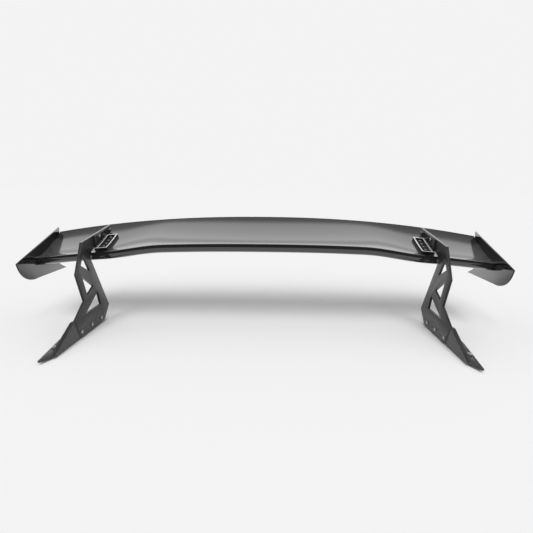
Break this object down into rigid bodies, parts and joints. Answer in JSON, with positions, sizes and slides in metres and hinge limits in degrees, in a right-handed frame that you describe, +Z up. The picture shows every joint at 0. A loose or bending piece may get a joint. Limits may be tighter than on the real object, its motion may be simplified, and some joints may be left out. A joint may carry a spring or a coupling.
{
  "type": "racing rear wing",
  "caption": "Wide arched carbon rear wing with flat endplates, hung from above by two lightened swan-neck uprights on bolted wedge feet; the blade's angle is adjustable.",
  "frame": {"origin": "middle of the object's box in plan, on the floor under the base bolts' ends", "axes": "+X along the span to the right, +Y towards the rear of the car, +Z up"},
  "size_m": [1.7058, 0.637, 0.4],
  "materials": {
    "gloss_carbon": "clear-coated carbon fibre, mirror gloss",
    "satin_black_alloy": "satin black anodised plate",
    "plain_alloy": "machined",
    "bright_steel": "plated fasteners"
  },
  "bodies": {
    "stand": {"angle_bolt_left": "bright_steel", "angle_bolt_right": "bright_steel", "angle_nut_left": "bright_steel", "angle_nut_right": "bright_steel", "base_bolt_left_1": "bright_steel", "base_bolt_left_2": "bright_steel", "base_bolt_right_1": "bright_steel", "base_bolt_right_2": "bright_steel", "base_nut_left_1": "bright_steel", "base_nut_left_2": "bright_steel", "base_nut_right_1": "bright_steel", "base_nut_right_2": "bright_steel", "foot_bolt_left_1": "bright_steel", "foot_bolt_left_2": "bright_steel", "foot_bolt_left_3": "bright_steel", "foot_bolt_right_1": "bright_steel", "foot_bolt_right_2": "bright_steel", "foot_bolt_right_3": "bright_steel", "foot_left": "satin_black_alloy", "foot_nut_left_1": "bright_steel", "foot_nut_left_2": "bright_steel", "foot_nut_left_3": "bright_steel", "foot_nut_right_1": "bright_steel", "foot_nut_right_2": "bright_steel", "foot_nut_right_3": "bright_steel", "foot_right": "satin_black_alloy", "pivot_bolt_left": "bright_steel", "pivot_bolt_right": "bright_steel", "pivot_nut_left": "bright_steel", "pivot_nut_right": "bright_steel", "upright_left": "satin_black_alloy", "upright_right": "satin_black_alloy"},
    "blade": {"bracket_screw_left_1": "bright_steel", "bracket_screw_left_2": "bright_steel", "bracket_screw_left_3": "bright_steel", "bracket_screw_left_4": "bright_steel", "bracket_screw_right_1": "bright_steel", "bracket_screw_right_2": "bright_steel", "bracket_screw_right_3": "bright_steel", "bracket_screw_right_4": "bright_steel", "endplate_left": "gloss_carbon", "endplate_right": "gloss_carbon", "endplate_screw_left_1": "bright_steel", "endplate_screw_left_2": "bright_steel", "endplate_screw_left_3": "bright_steel", "endplate_screw_right_1": "bright_steel", "endplate_screw_right_2": "bright_steel", "endplate_screw_right_3": "bright_steel", "front_spar": "gloss_carbon", "mount_insert_left": "plain_alloy", "mount_insert_right": "plain_alloy", "rear_spar": "gloss_carbon", "tip_rib_left": "plain_alloy", "tip_rib_right": "plain_alloy", "wing_bracket_left": "satin_black_alloy", "wing_bracket_right": "satin_black_alloy", "wing_lower_skin": "gloss_carbon", "wing_upper_skin": "gloss_carbon"}
  },
  "joints": [
    {"name": "wing_angle", "type": "hinge", "parent": "stand", "child": "blade", "pos_m": [0, 0.10146, 0.33574], "axis": [1, 0, 0], "range_deg": [-2.5, 2.5]}
  ]
}
